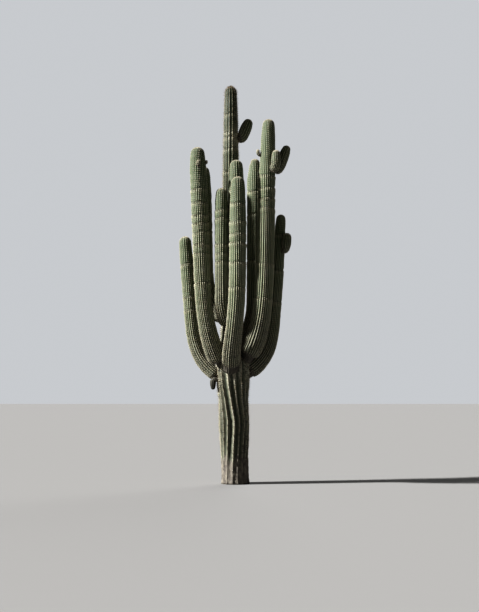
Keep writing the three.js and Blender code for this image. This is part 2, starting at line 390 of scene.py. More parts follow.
MIX_LOW, MIX_HIGH, MIX_RESULT = 6, 7, 2  # the colour sockets of a Mix node
MIDDLE = (0.3, 0.7)  # where most of a noise's values lie
LOWER = (0.3, 0.6)  # the lower part of that
TONGUES = (1, 1, 0.4)  # these scales draw noise out upwards
PLATES = (1, 1, 0.55)
FLECKS = (1, 1, 0.7)
CORK_EDGE_NOISE = (9.0, 5.0, 0.7)  # the noises are a scale, with detail and roughness
PATCH_NOISE = (2.3, 5.0, 0.6)
MOTTLE_NOISE = (34.0, 4.0, 0.65)
SPECKLE_NOISE = (34.0, 3.0, 0.6)
GRAIN_NOISE = (150.0, 2.0)
PLATE_NOISE = (17.0, 5.0, 0.7)
CORK_EDGE = (0.42, 0.62)  # the edges are values over which a pattern comes out
PATCH_EDGE = (0.36, 0.66)
SPECKLE_EDGE = (0.52, 0.6)
PLATE_EDGE = (0.4, 0.62)
GREY_EDGE = (0.42, 0.7)
AGE_EDGE = (0.1, 1.0)
BEAD_EDGE = (0.55, 1.0)  # these four are pleat heights
FURROW_SHADE_EDGE = (0.0, 0.5)
CREST_EDGE = (0.66, 0.96)
BAND_EDGE = (0.2, 0.9)
CORK_SHIFT = 0.42  # the shifts are how far noise moves an edge
AGE_SHIFT = 0.25
FURROW_SHADE_SHIFT = 0.16
BLOOM_COVER = 0.7  # the covers are how much a colour hides what is under it, low and high
SPECKLE_COVER = (0.0, 0.85)
AGE_COVER = (0.0, 0.85)
FRESH_COVER = 0.9
CALLUS_LIGHT_COVER = (0.45, 0.95)
FURROW_SHADE_COVER = (0.9, 0.0)
CREST_COVER = (0.4, 0.9)
BEAD_COVER = 0.3
BAND_COVER = (0.25, 0.8)
BAND_ON_PLEATS = (0.1, 1.0)
NOTCH_SHADE_COVER = (0.15, 0.6)
WOOL_COVER = 0.85
GREY_COVER = (0.0, 0.7)
CREASE_SHADE_COVER = (0.9, 0.25)
YOUNG_CREST = (0.2, 1.0, 1.0, 0.2)  # crests pale less where the skin is young
SKIN_ROUGHNESS = (0.52, 0.86)
GRAIN_RELIEF = 0.18  # these three are shares of the relief's height
MOTTLE_RELIEF = 0.3
BEAD_RELIEF = 0.7
RELIEF_HEIGHT = 0.006
RELIEF_STRENGTH = 0.6
WAX_SPECULAR = 0.35
BAND_TAN = (0.4, 0.37, 0.27)
# partly painted light: the pale callus brightens the trunk round the forks, under the arms
CALLUS_AND_PAINTED_LIGHT = (0.42, 0.4, 0.32)
OLD_PALE = (0.13, 0.125, 0.09)
WOOL = (0.62, 0.58, 0.47)
CORK_DARK = (0.06, 0.05, 0.042)
CORK_PALE = (0.19, 0.168, 0.133)
CORK_GREY = (0.135, 0.124, 0.107)
# the dark colour of the painted shade in creases and ring notches, also used for the flecks
PAINTED_SHADE_DARK = (0.035, 0.032, 0.024)
# painted shade: the tint laid in the bottoms of the furrows
MATURE_FURROW_SHADE = (0.026, 0.036, 0.02)
MATURE_CREST = (0.38, 0.36, 0.27)
MATURE_FRESH = (0.064, 0.089, 0.039)


def mix_colours(tree, factor, low, high):
    """A Mix node between two colours or colour sockets, by a factor socket."""
    mix = tree.nodes.new("ShaderNodeMix")
    mix.data_type = "RGBA"
    tree.links.new(factor, mix.inputs["Factor"])
    for socket, colour in ((mix.inputs[MIX_LOW], low), (mix.inputs[MIX_HIGH], high)):
        if isinstance(colour, bpy.types.NodeSocket):
            tree.links.new(colour, socket)
        else:
            socket.default_value = (*colour, 1)
    return mix.outputs[MIX_RESULT]


def spread(tree, socket, low, high, new_low=0.0, new_high=1.0):
    """The socket's values from low to high, stretched from new_low to new_high."""
    stretch = tree.nodes.new("ShaderNodeMapRange")
    for key, value in zip(("From Min", "From Max", "To Min", "To Max"), (low, high, new_low, new_high)):
        stretch.inputs[key].default_value = value
    tree.links.new(socket, stretch.inputs["Value"])
    return stretch.outputs["Result"]


def combine(tree, operation, first, second):
    """A Math node on two sockets or numbers."""
    step = tree.nodes.new("ShaderNodeMath")
    step.operation = operation
    for socket, value in zip(step.inputs, (first, second)):
        if isinstance(value, bpy.types.NodeSocket):
            tree.links.new(value, socket)
        else:
            socket.default_value = value
    return step.outputs["Value"]


def noise_of(tree, scale, detail=3.0, roughness=0.5, stretch=(1, 1, 1)):
    """Noise on the piece's own coordinates, in metres."""
    place = tree.nodes.new("ShaderNodeTexCoord")
    mapping = tree.nodes.new("ShaderNodeMapping")
    mapping.inputs["Scale"].default_value = stretch
    texture = tree.nodes.new("ShaderNodeTexNoise")
    texture.inputs["Scale"].default_value = scale
    texture.inputs["Detail"].default_value = detail
    texture.inputs["Roughness"].default_value = roughness
    tree.links.new(place.outputs["Object"], mapping.inputs["Vector"])
    tree.links.new(mapping.outputs["Vector"], texture.inputs["Vector"])
    return texture.outputs["Fac"]


def skin_layer(tree, key):
    layer = tree.nodes.new("ShaderNodeAttribute")
    layer.attribute_name = key
    return layer.outputs["Fac"]


def times(tree, first, second):
    return combine(tree, "MULTIPLY", first, second)


def ragged(tree, socket, pattern, shift):
    """A socket whose values a pattern moves up and down, so that an edge in them is uneven."""
    return combine(tree, "ADD", socket, spread(tree, pattern, *MIDDLE, -shift, shift))


def skin_patterns(tree):
    """The patterns that mix a skin's colours and raise its relief, as sockets from 0 to 1."""
    height = skin_layer(tree, "crest")
    beat = combine(tree, "COSINE", times(tree, skin_layer(tree, "beat"), 2 * math.pi), 0.0)
    tongues = noise_of(tree, *CORK_EDGE_NOISE, TONGUES)
    scars_and_spine_shadow = noise_of(tree, *SPECKLE_NOISE, FLECKS)
    return {
        "height": height,
        "bead": times(tree, spread(tree, beat, -1.0, 1.0), spread(tree, height, *BEAD_EDGE)),
        "patches": spread(tree, noise_of(tree, *PATCH_NOISE), *PATCH_EDGE),
        "mottle": noise_of(tree, *MOTTLE_NOISE),
        "scars_and_spine_shadow": spread(tree, scars_and_spine_shadow, *SPECKLE_EDGE, *SPECKLE_COVER),
        "grain": noise_of(tree, *GRAIN_NOISE),
        "plates": spread(tree, noise_of(tree, *PLATE_NOISE, PLATES), *PLATE_EDGE),
        "corky": spread(tree, ragged(tree, skin_layer(tree, "cork"), tongues, CORK_SHIFT), *CORK_EDGE),
    }


def waxy_green(tree, seen, tints):
    """Green skin: grey with bloom in patches, paler with age, fresh near the tip, pale on the
    callus round a fork, which is partly painted light, with painted shade in the furrows, and
    pale on the crests and under the areoles."""
    mottle, height, young = seen["mottle"], seen["height"], skin_layer(tree, "young")
    bloom = times(tree, seen["patches"], BLOOM_COVER)
    green = mix_colours(tree, bloom, tints["flank"], tints["bloom"])
    aged = ragged(tree, skin_layer(tree, "old"), mottle, AGE_SHIFT)
    green = mix_colours(tree, spread(tree, aged, *AGE_EDGE, *AGE_COVER), green, OLD_PALE)
    green = mix_colours(tree, times(tree, young, FRESH_COVER), green, tints["fresh"])
    # partly painted light: a pale callus round each fork brightens the trunk under the arms
    callus = times(tree, skin_layer(tree, "callus"), spread(tree, mottle, *LOWER, *CALLUS_LIGHT_COVER))
    green = mix_colours(tree, callus, green, CALLUS_AND_PAINTED_LIGHT)
    # painted shade: the furrows are darkened towards their bottoms with the furrow tint
    low = spread(tree, ragged(tree, height, mottle, FURROW_SHADE_SHIFT), *FURROW_SHADE_EDGE, *FURROW_SHADE_COVER)
    green = mix_colours(tree, low, green, tints["furrow"])
    high = spread(tree, height, *CREST_EDGE)
    high = times(tree, high, spread(tree, mottle, *LOWER, *CREST_COVER))
    high = times(tree, high, spread(tree, young, *YOUNG_CREST))
    green = mix_colours(tree, high, green, tints["crest"])
    return mix_colours(tree, times(tree, seen["bead"], BEAD_COVER), green, tints["crest"])


def weathered(tree, seen, green, wool):
    """The skin with its dark flecks, partly scars and partly painted spine shadow, tan bands
    below each ring where growth paused, painted shade in its notch, and the wool on its tip."""
    mottle = seen["mottle"]
    # the flecks on old skin are partly scars and partly painted shadow of the spines
    flecks = times(tree, seen["scars_and_spine_shadow"], skin_layer(tree, "old"))
    green = mix_colours(tree, flecks, green, PAINTED_SHADE_DARK)
    worn = times(tree, skin_layer(tree, "band"), spread(tree, mottle, *LOWER, *BAND_COVER))
    worn = times(tree, worn, spread(tree, seen["height"], *BAND_EDGE, *BAND_ON_PLEATS))
    green = mix_colours(tree, worn, green, BAND_TAN)
    # painted shade in the notch of each growth ring
    notch = times(tree, skin_layer(tree, "notch"), spread(tree, mottle, *MIDDLE, *NOTCH_SHADE_COVER))
    green = mix_colours(tree, notch, green, PAINTED_SHADE_DARK)
    return mix_colours(tree, times(tree, skin_layer(tree, "wool"), WOOL_COVER), green, wool)


def corked(tree, seen, green):
    """The skin with cork where it is old, and painted shade in the creases where limbs meet."""
    mottle = seen["mottle"]
    bark = mix_colours(tree, seen["plates"], CORK_DARK, CORK_PALE)
    bark = mix_colours(tree, spread(tree, mottle, *GREY_EDGE, *GREY_COVER), bark, CORK_GREY)
    green = mix_colours(tree, seen["corky"], green, bark)
    # painted shade: the creases round forks and at each arm's heel are darkened
    crease = times(tree, skin_layer(tree, "crease"), spread(tree, mottle, *MIDDLE, *CREASE_SHADE_COVER))
    return mix_colours(tree, crease, green, PAINTED_SHADE_DARK)


def skin_relief(tree, seen):
    """The skin's way out, bumpy with its grain, the beads under its areoles and its cork."""
    bump = tree.nodes.new("ShaderNodeBump")
    bump.inputs["Strength"].default_value = RELIEF_STRENGTH
    bump.inputs["Distance"].default_value = RELIEF_HEIGHT
    grain = times(tree, seen["grain"], GRAIN_RELIEF)
    relief = combine(tree, "ADD", grain, times(tree, seen["mottle"], MOTTLE_RELIEF))
    cracked = combine(tree, "ADD", seen["corky"], skin_layer(tree, "crease"))
    relief = combine(tree, "ADD", relief, times(tree, seen["plates"], cracked))
    relief = combine(tree, "ADD", relief, times(tree, seen["bead"], BEAD_RELIEF))
    tree.links.new(relief, bump.inputs["Height"])
    return bump.outputs["Normal"]


# The furrow tint of each skin is painted shade, laid in the bottoms of its furrows.
def skin_material(name, **tints):
    """A limb's waxy, corky skin, from the tints of its parts."""
    material = bpy.data.materials.new(name)
    material.use_nodes = True
    tree = material.node_tree
    seen = skin_patterns(tree)
    colour = weathered(tree, seen, waxy_green(tree, seen, tints), tints["wool"])
    roughness = spread(tree, seen["mottle"], *MIDDLE, *SKIN_ROUGHNESS)
    shader = tree.nodes["Principled BSDF"]
    tree.links.new(corked(tree, seen, colour), shader.inputs["Base Color"])
    tree.links.new(roughness, shader.inputs["Roughness"])
    tree.links.new(skin_relief(tree, seen), shader.inputs["Normal"])
    shader.inputs["Specular IOR Level"].default_value = WAX_SPECULAR
    return material


LOWEST_CREST = 0.2  # how far a crest of the trunk may be sunk, as a share of the pleats' depth
SUNK_CREST = 1  # the crest to the right of the front one is sunk further
SUNK_RISE = 0.5


def trunk_turn(height):
    """How far round the trunk its front crest stands at a height."""
    heights, degrees = smooth_line(RIB_TURNS, GIRTH_STEPS).T
    return FRONT_CREST + np.radians(np.interp(height, heights, degrees))


def fork_place(bearing, height):
    """The place on the trunk at a bearing in degrees and a height."""
    aim = math.radians(bearing)
    out = np.array([math.cos(aim), math.sin(aim), 0])
    return trunk_axis(np.array(height)) + trunk_radius(height) * out


areole_wild = np.random.default_rng(37)
trunk_rises = 1 - areole_wild.uniform(0, LOWEST_CREST, TRUNK_RIBS)
trunk_rises[SUNK_CREST] = SUNK_RISE
trunk_heights = np.linspace(0, PLANT_HEIGHT, LINE_STEPS + 1)
trunk = {
    "at": trunk_heights,
    "middle": trunk_axis(trunk_heights),
    "across": np.tile([1.0, 0.0, 0.0], (LINE_STEPS + 1, 1)),
    "side": np.tile([0.0, 1.0, 0.0], (LINE_STEPS + 1, 1)),
    "length": PLANT_HEIGHT,
    "radius": trunk_radius,
    "start": 0.0,
    "dome": TRUNK_DOME,
    "cork": CORK_BAND,
    "old": (2.2, 4.2),
    "crease": OVER_BEFORE,
    "shed": SHED_BAND,
    "fresh": 4.2,
    "ribs": TRUNK_RIBS,
    "columns": 12,
    "pleat": 0.42,
    "hollow": 1.5,
    "uneven": 0.5,
    "rises": trunk_rises,
    "phase": 0.35,
    "rings": TRUNK_RINGS,
    "turn": trunk_turn,
    "forks": [(fork_place(bearing, height), size) for bearing, height, size in FORKS],
}
plan_areoles(trunk, SHED_BAND[0], areole_wild)
trunk_skin = skin_material(
    "trunk_skin",
    flank=(0.1, 0.116, 0.067),
    furrow=MATURE_FURROW_SHADE,
    crest=MATURE_CREST,
    fresh=(0.022, 0.03, 0.014),
    bloom=(0.2, 0.212, 0.15),
    wool=WOOL,
)
trunk_piece = roll_skin("trunk_skin", trunk)
trunk_piece.data.materials.append(trunk_skin)
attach(trunk_piece, "root")
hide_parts("trunk")

# The nine arms leave the trunk at the fork through a pinched, corky heel, swing out and climb
# beside it. Each is one pleated column like the trunk, with a slimmer, rounded, woolly tip.
# They are rolled up in the same way, along middle lines that follow the built solids.
RIPEN_POWER = 0.6
BURIED = 0.14  # how far a limb's skin starts inside its parent
ARM_HEEL = {"ratio": 0.6, "pinch": 0.36, "swell_over": 0.9}
ARM_RISES = (0.78, 1)  # how high the crests stand, as a share of the pleats' depth
HEEL_CORK = (-0.03, 0.09)  # these three run along a limb from where it leaves its parent
# the heel crease is where painted shade darkens an arm's neck
HEEL_CREASE = (0.01, 0.08)
AGEING = (0.1, 1.6)
RING_DEPTHS = (0.04, 0.08)
LONGEST_FRESH = 2.6
FRESH_SHARE = 0.7
ARMS = {
    "arm_far_left": {
        "bearing": 172, "swing": 0, "root": 1.97, "reach": 0.76, "sweep": 1.75, "power": 4.5,
        "lean": 0.085, "top": 5.03, "heel": 0.152, "belly": 0.138, "crown": 0.123, "taper": 0.5,
        "ribs": 23, "twist": -0.05, "bands": [3.5, 3.78, 4.45],
    },
    "arm_left": {
        "bearing": 206, "swing": 5, "root": 1.975, "reach": 0.624, "sweep": 2.465, "power": 3.4,
        "lean": 0.048, "top": 6.76, "heel": 0.196, "belly": 0.168, "crown": 0.142, "taper": 0.35,
        "ribs": 26, "twist": 0.04, "bands": [4.0, 4.6, 4.78, 5.02, 5.22, 5.38, 5.62, 5.9],
    },
    "arm_back_left": {
        "bearing": 147, "swing": 0, "root": 3.08, "reach": 0.62, "sweep": 1.4, "power": 2.6,
        "lean": 0.03, "top": 6.58, "heel": 0.155, "belly": 0.147, "crown": 0.112, "taper": 0.5,
        "ribs": 23, "twist": 0.06, "bands": [4.3, 5.2, 5.6],
    },
    "arm_mid_left": {
        "bearing": 245, "swing": 0, "root": 3.035, "reach": 0.486, "sweep": 0.685, "power": 2.4,
        "lean": 0.012, "top": 5.905, "heel": 0.159, "belly": 0.137, "crown": 0.112, "taper": 0.4,
        "ribs": 20, "twist": -0.04, "bands": [4.42, 4.6, 4.78, 5.3, 5.48],
    },
    "arm_front": {
        "bearing": 254, "swing": 22, "root": 2.015, "reach": 0.83, "sweep": 2.9, "power": 3.8,
        "lean": 0.022, "top": 6.03, "heel": 0.185, "belly": 0.166, "crown": 0.131, "taper": 0.85,
        "pinch": 0.85, "ribs": 24, "twist": 0.05, "bands": [3.85, 4.35, 4.72, 4.9, 5.15, 5.5],
    },
    "arm_inner": {
        "bearing": 282, "swing": 0, "root": 3.796, "reach": 0.43, "sweep": 1.0, "power": 4,
        "lean": 0.0, "top": 6.5, "heel": 0.145, "belly": 0.16, "crown": 0.128, "taper": 0.38,
        "ribs": 22, "twist": 0.03, "bands": [5.0, 5.9], "fresh": 4.0,
    },
    "arm_back_right": {
        "bearing": 53, "swing": 0, "root": 2.65, "reach": 0.745, "sweep": 1.3, "power": 3,
        "lean": 0.01, "top": 6.815, "heel": 0.16, "belly": 0.168, "crown": 0.098, "taper": 0.38,
        "ribs": 24, "twist": -0.05, "bands": [4.6, 5.6, 6.1], "fresh": 4.0,
    },
    "arm_right": {
        "bearing": -24, "swing": -4.2, "root": 2.174, "reach": 0.649, "sweep": 2.57, "power": 4.3,
        "lean": 0.034, "top": 7.361, "heel": 0.216, "belly": 0.189, "crown": 0.123, "taper": 2.17,
        "pinch": 0.62, "ribs": 27, "twist": 0.04, "bands": [3.7, 4.4, 5.52, 5.72, 5.95, 6.2],
        "fresh": 4.0,
    },
    "arm_far_right": {
        "bearing": 8, "swing": 6, "root": 2.04, "reach": 0.753, "sweep": 1.5, "power": 3.9,
        "lean": 0.08, "top": 5.515, "heel": 0.169, "belly": 0.142, "crown": 0.093, "taper": 1.3,
        "pinch": 0.7, "ribs": 22, "twist": -0.03, "bands": [3.7, 4.35, 5.1],
    },
}


def limb_line(shape, foot):
    """The middle line of a limb from the foot on its parent's axis, and the frame along it."""
    climb = np.linspace(0, shape["top"] - shape["root"], LINE_STEPS + 1)
    bend = 1 - (1 - np.minimum(np.abs(climb) / shape["sweep"], 1)) ** shape["power"]
    distance = shape["reach"] * bend + shape["lean"] * climb
    bearing = np.radians(shape["bearing"] + shape["swing"] * bend)
    middle = foot + np.stack([distance * np.cos(bearing), distance * np.sin(bearing), climb], -1)
    heading = np.gradient(middle, axis=0)
    heading /= np.linalg.norm(heading, axis=1, keepdims=True)
    aim = math.radians(shape["bearing"] + shape["swing"] / 2)
    level = np.array([math.sin(aim), -math.cos(aim), 0])
    side = level - heading * (heading @ level)[:, None]
    side /= np.linalg.norm(side, axis=1, keepdims=True)
    steps = np.linalg.norm(np.diff(middle, axis=0), axis=1)
    return {
        "at": np.concatenate([[0], np.cumsum(steps)]),
        "middle": middle,
        "across": np.cross(heading, side),
        "side": side,
        "out": distance,
    }


def beyond(seat, band):
    """A band along a limb, moved to begin where the limb leaves its parent."""
    return tuple(seat + edge for edge in band)


def grow(shape, foot, parent_radius, heel, wild):
    """A limb: its line, its radius at any station, and what sets its looks."""
    limb = limb_line(shape, foot)
    length = limb["at"][-1]
    seat = float(np.interp(parent_radius, limb["out"], limb["at"]))
    rounding = heel["ratio"] * shape["heel"]
    dome = shape["crown"]
    neck = shape.get("pinch", heel["pinch"])

    def radius(station):
        from_tip = length - station
        swell = ease(station, seat + rounding, seat + rounding + heel["swell_over"])
        body = shape["heel"] + (shape["belly"] - shape["heel"]) * swell
        rise = np.clip((station - seat) / rounding, 0, 1)
        pinch = neck + (1 - neck) * np.sqrt(1 - (1 - rise) ** 2)
        ripe = np.clip((from_tip - dome) / shape["taper"], 0, 1) ** RIPEN_POWER
        over = np.clip((dome - from_tip) / dome, 0, 1)
        return pinch * (shape["crown"] + (body - shape["crown"]) * ripe) * np.sqrt(1 - over**2)

    phase = wild.uniform(0, 2 * math.pi)
    rises = wild.uniform(*ARM_RISES, shape["ribs"])
    bands = np.interp(shape["bands"], limb["middle"][:, 2], limb["at"])
    limb.update(
        length=length,
        radius=radius,
        start=max(seat - BURIED, 0.0),
        dome=dome,
        cork=beyond(seat, HEEL_CORK),
        crease=beyond(seat, HEEL_CREASE),
        shed=OVER_BEFORE,
        old=beyond(seat, AGEING),
        ribs=shape["ribs"],
        columns=8,
        pleat=0.44,
        hollow=1.2,
        uneven=1.0,
        rises=rises,
        phase=phase,
        turn=lambda station: shape["twist"] * station + phase,
        forks=[],
        fresh=min(shape.get("fresh", LONGEST_FRESH), FRESH_SHARE * length),
        rings=[(band, wild.uniform(*RING_DEPTHS)) for band in bands],
    )
    plan_areoles(limb, seat, wild)
    return limb


arm_skin = skin_material(
    "arm_skin",
    flank=(0.115, 0.142, 0.075),
    furrow=MATURE_FURROW_SHADE,
    crest=MATURE_CREST,
    fresh=MATURE_FRESH,
    bloom=(0.18, 0.2, 0.135),
    wool=WOOL,
)
arm_wild = np.random.default_rng(11)
limbs = {"trunk": trunk}
for name, shape in ARMS.items():
    root = np.array(shape["root"])
    limbs[name] = grow(shape, trunk_axis(root), float(trunk_radius(root)), ARM_HEEL, arm_wild)
    arm_piece = roll_skin(f"{name}_skin", limbs[name])
    arm_piece.data.materials.append(arm_skin)
    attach(arm_piece, "root")
    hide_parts(f"{name}_bend", f"{name}_upright")

# The young growths are this year's and last year's arms: plump buds on three arms and the
# trunk, and two knobs that have only just broken through, all with a fresh, finely pleated
# skin. Under the far left arm a short stub droops, which has dried up.
BUD_HEEL = {"ratio": 0.9, "pinch": 0.6, "swell_over": 0.15}
BUD_FRESH = 0.8  # how much of a bud's length is fresh
BUDS = {
    "bud_trunk": {
        "parent": "trunk", "bearing": 10, "swing": 0, "root": 7.045, "reach": 0.212, "sweep": 0.12,
        "power": 3, "lean": 0.4, "top": 7.505, "heel": 0.112, "belly": 0.122, "crown": 0.102,
        "taper": 0.12, "ribs": 16, "twist": 0.1, "bands": [],
    },
    "bud_right_inner": {
        "parent": "arm_right", "bearing": -52, "swing": 0, "root": 6.248, "reach": 0.262,
        "sweep": 0.13, "power": 3, "lean": 0.06, "top": 6.657, "heel": 0.092, "belly": 0.097,
        "crown": 0.08, "taper": 0.12, "ribs": 15, "twist": 0.1, "bands": [],
    },
    "bud_right_outer": {
        "parent": "arm_right", "bearing": 4, "swing": 0, "root": 6.258, "reach": 0.226,
        "sweep": 0.12, "power": 3, "lean": 0.34, "top": 6.818, "heel": 0.092, "belly": 0.106,
        "crown": 0.088, "taper": 0.12, "ribs": 15, "twist": -0.1, "bands": [],
    },
    "bud_far_right": {
        "parent": "arm_far_right", "bearing": -44, "swing": 0, "root": 4.7, "reach": 0.206,
        "sweep": 0.11, "power": 3, "lean": 0.1, "top": 5.09, "heel": 0.078, "belly": 0.098,
        "crown": 0.092, "taper": 0.06, "ribs": 16, "twist": 0.1, "bands": [],
    },
    "bud_left": {
        "parent": "arm_left", "bearing": 275, "swing": 0, "root": 6.29, "reach": 0.185,
        "sweep": 0.09, "power": 3, "lean": 0.05, "top": 6.455, "heel": 0.042, "belly": 0.046,
        "crown": 0.038, "taper": 0.06, "ribs": 12, "twist": 0.0, "bands": [],
    },
    "knob_left": {
        "parent": "arm_left", "bearing": -8, "swing": 0, "root": 6.38, "reach": 0.168,
        "sweep": 0.07, "power": 3, "lean": 0.05, "top": 6.49, "heel": 0.028, "belly": 0.03,
        "crown": 0.025, "taper": 0.04, "ribs": 10, "twist": 0.0, "bands": [],
    },
    "knob_right": {
        "parent": "arm_right", "bearing": 196, "swing": 0, "root": 6.57, "reach": 0.2,
        "sweep": 0.08, "power": 3, "lean": 0.05, "top": 6.722, "heel": 0.032, "belly": 0.034,
        "crown": 0.028, "taper": 0.04, "ribs": 10, "twist": 0.0, "bands": [],
    },
    "stub_far_left": {
        "parent": "trunk", "bearing": 186, "swing": 0, "root": 2.1, "reach": 0.408,
        "sweep": 0.06, "power": 3, "lean": 0.0, "top": 1.868, "heel": 0.062, "belly": 0.066,
        "crown": 0.046, "taper": 0.11, "ribs": 12, "twist": 0.0, "bands": [],
    },
}


def perch(shape):
    """The foot of a bud on its parent's axis, and the parent's radius there."""
    root = np.array(shape["root"])
    if shape["parent"] == "trunk":
        return trunk_axis(root), float(trunk_radius(root))
    parent = limbs[shape["parent"]]
    station = np.interp(root, parent["middle"][:, 2], parent["at"])
    return line_at(parent, "middle", station), float(parent["radius"](station))


bud_skin = skin_material(
    "bud_skin",
    flank=(0.08, 0.105, 0.05),
    furrow=(0.03, 0.043, 0.02),
    crest=(0.28, 0.27, 0.18),
    fresh=(0.065, 0.09, 0.036),
    bloom=(0.11, 0.14, 0.08),
    wool=WOOL,
)
DRIED = ["stub_far_left"]  # its skin is dead and dry, painted near black for the shade it hangs in under the far left arm's heel, and it has shed its spines
dried_skin_with_painted_shade = skin_material(
    "dried_skin_with_painted_shade",
    flank=(0.026, 0.024, 0.017),
    furrow=(0.012, 0.011, 0.008),
    crest=(0.07, 0.065, 0.048),
    fresh=(0.022, 0.02, 0.014),
    bloom=(0.035, 0.033, 0.025),
    wool=(0.03, 0.028, 0.02),
)
bud_wild = np.random.default_rng(23)
for name, shape in BUDS.items():
    limbs[name] = grow(shape, *perch(shape), BUD_HEEL, bud_wild)
    limbs[name].update(fresh=BUD_FRESH * limbs[name]["length"], start=0.0)
    bud_piece = roll_skin(f"{name}_skin", limbs[name])
    bud_piece.data.materials.append(dried_skin_with_painted_shade if name in DRIED else bud_skin)
    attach(bud_piece, "root")
    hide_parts(name)

# Areoles sit in a row down every crest, closer together near the tips: oval felted pads, grey
# or tan, and browner where they are young. They are low eight-sided lozenges pressed into the
# skin and joined limb by limb.
AREOLE_STRAY = 0.002
ALONG_PROBE = 0.004  # how far to each side, along and in ribs, the skin's ways are taken
ROUND_PROBE = 0.3
PAD_LENGTH = 0.01
PAD_WIDTH = 0.0065
PAD_HEIGHT = 0.005
PAD_SIZES = (0.8, 1.2)
YOUNG_SWELL = 0.25  # how much larger the pads are at a tip
SHEEN_SCALE = 90.0
SMALLEST_TURN = 0.018  # the areoles stop where the limb's tip is thinner than this


def unit(vectors):
    return vectors / np.linalg.norm(vectors, axis=-1, keepdims=True)


def areoles_on(limb, wild):
    """The places of a limb's areoles, with the ways out, along and across the skin there."""
    run, spots, ribs = limb["run"], limb["spots"], limb["ribs"]
    stray = wild.normal(0, AREOLE_STRAY, (ribs, len(spots)))
    place = spots[None, :] + limb["shift"][:, None] + stray
    rib = np.repeat(np.arange(ribs)[:, None], len(spots), 1).astype(float)
    inside = (place > 0) & (place < run[-1] - ALONG_PROBE)
    station, rib, place = np.interp(place[inside], run, limb["line"]), rib[inside], place[inside]
    kept = wild.random(len(station)) < ease(station, *limb["shed"])
    kept &= limb["radius"](station) > SMALLEST_TURN
    station, rib, place = station[kept], rib[kept], place[kept]
    here = skin_at(limb, station, rib)
    ahead, behind = (skin_at(limb, station + step, rib) for step in (ALONG_PROBE, -ALONG_PROBE))
    left, right = (skin_at(limb, station, rib + step) for step in (ROUND_PROBE, -ROUND_PROBE))
    along, around = unit(ahead - behind), unit(left - right)
    return {
        "here": here,
        "out": unit(np.cross(around, along)),
        "along": along,
        "around": around,
        "tip": ease(place, run[-1] - TIP_ZONE, run[-1]),
        "height": here[:, 2],
    }


def small_things(name, corners, faces, tints, materials):
    """One joined mesh of many like small shapes: corners (count, corners, 3), the faces of one
    shape, and the material of each shape."""
    count, per_shape = corners.shape[:2]
    every = (np.array(faces)[None] + np.arange(count)[:, None, None] * per_shape).reshape(-1, 3)
    mesh = bpy.data.meshes.new(name)
    mesh.from_pydata(corners.reshape(-1, 3).tolist(), [], every.tolist())
    for material in materials:
        mesh.materials.append(material)
    mesh.polygons.foreach_set("material_index", np.repeat(tints, len(faces)).astype(np.int32))
    piece = bpy.data.objects.new(name, mesh)
    bpy.context.scene.collection.objects.link(piece)
    return piece


def dry_material(name, colour, rough_low, rough_high):
    """One plain colour, for the tufts or pads that have it, with an uneven dry sheen."""
    material = bpy.data.materials.new(name)
    material.use_nodes = True
    tree = material.node_tree
    shader = tree.nodes["Principled BSDF"]
    shader.inputs["Base Color"].default_value = (*colour, 1)
    sheen = spread(tree, noise_of(tree, SHEEN_SCALE), *MIDDLE, rough_low, rough_high)
    tree.links.new(sheen, shader.inputs["Roughness"])
    return material


felts = [
    dry_material("felt_grey", (0.36, 0.34, 0.29), 0.8, 1.0),
    dry_material("felt_tan", (0.42, 0.37, 0.28), 0.8, 1.0),
    dry_material("felt_young", (0.3, 0.27, 0.2), 0.8, 1.0),
]
YOUNG_FELT = 2  # the felts before it are for older pads
LOZENGE = [(0, 2, 4), (2, 1, 4), (1, 3, 4), (3, 0, 4), (2, 0, 5), (1, 2, 5), (3, 1, 5), (0, 3, 5)]
pad_wild = np.random.default_rng(41)
areoles = {}
for name, limb in limbs.items():
    if name in DRIED:
        continue
    areoles[name] = areoles_on(limb, pad_wild)
    spots = areoles[name]
    size = pad_wild.uniform(*PAD_SIZES, len(spots["here"])) * (1 + YOUNG_SWELL * spots["tip"])
    ways = (
        spots["along"] * PAD_LENGTH,
        -spots["along"] * PAD_LENGTH,
        spots["around"] * PAD_WIDTH,
        -spots["around"] * PAD_WIDTH,
        spots["out"] * PAD_HEIGHT,
        -spots["out"] * PAD_HEIGHT,
    )
    corners = np.stack([spots["here"] + way * size[:, None] for way in ways], 1)
    young = pad_wild.random(len(size)) < spots["tip"]
    tints = np.where(young, YOUNG_FELT, pad_wild.integers(0, YOUNG_FELT, len(size)))
    pads = small_things(f"{name}_areoles", corners, LOZENGE, tints, felts)
    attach(pads, "root")

# Each areole carries a tuft of stiff spines: a ring of short ones spread low over the skin, and
# a few long ones in the middle, which hang on old growth and stand up, straw to brown, near
# the tips. Each is a slim closed needle of four faces, and they are joined limb by limb.
RING_SPINES = 5
LONG_SPINES = 3
RING_LENGTH = 0.023
LONG_LENGTH = 0.04
SPINE_RADIUS = 0.0018
RING_RISE = math.radians(24)
TIP_RISE = 0.4  # how much steeper, in radians, the short spines stand at a tip
ANGLE_STRAY = 0.15
OLD_DROOP = -0.35  # how far the long spines lean along the limb, and how far that turns round
TIP_LIFT = 0.9
DROOP_STRAY = 0.3
SIDE_STRAY = 0.35
SPINE_SIZES = (0.7, 1.25)
TIP_GROWTH = 0.35  # how much longer the spines are at a tip
WORN_SHARE = 0.55  # how long they are where they are worn short, low on the trunk
WORN_BAND = (0.4, 1.6)  # heights over which they are less and less worn
STEEP = 0.9  # a needle steeper than this takes its rim from another way
NEEDLE = [(0, 1, 3), (1, 2, 3), (2, 0, 3), (0, 2, 1)]


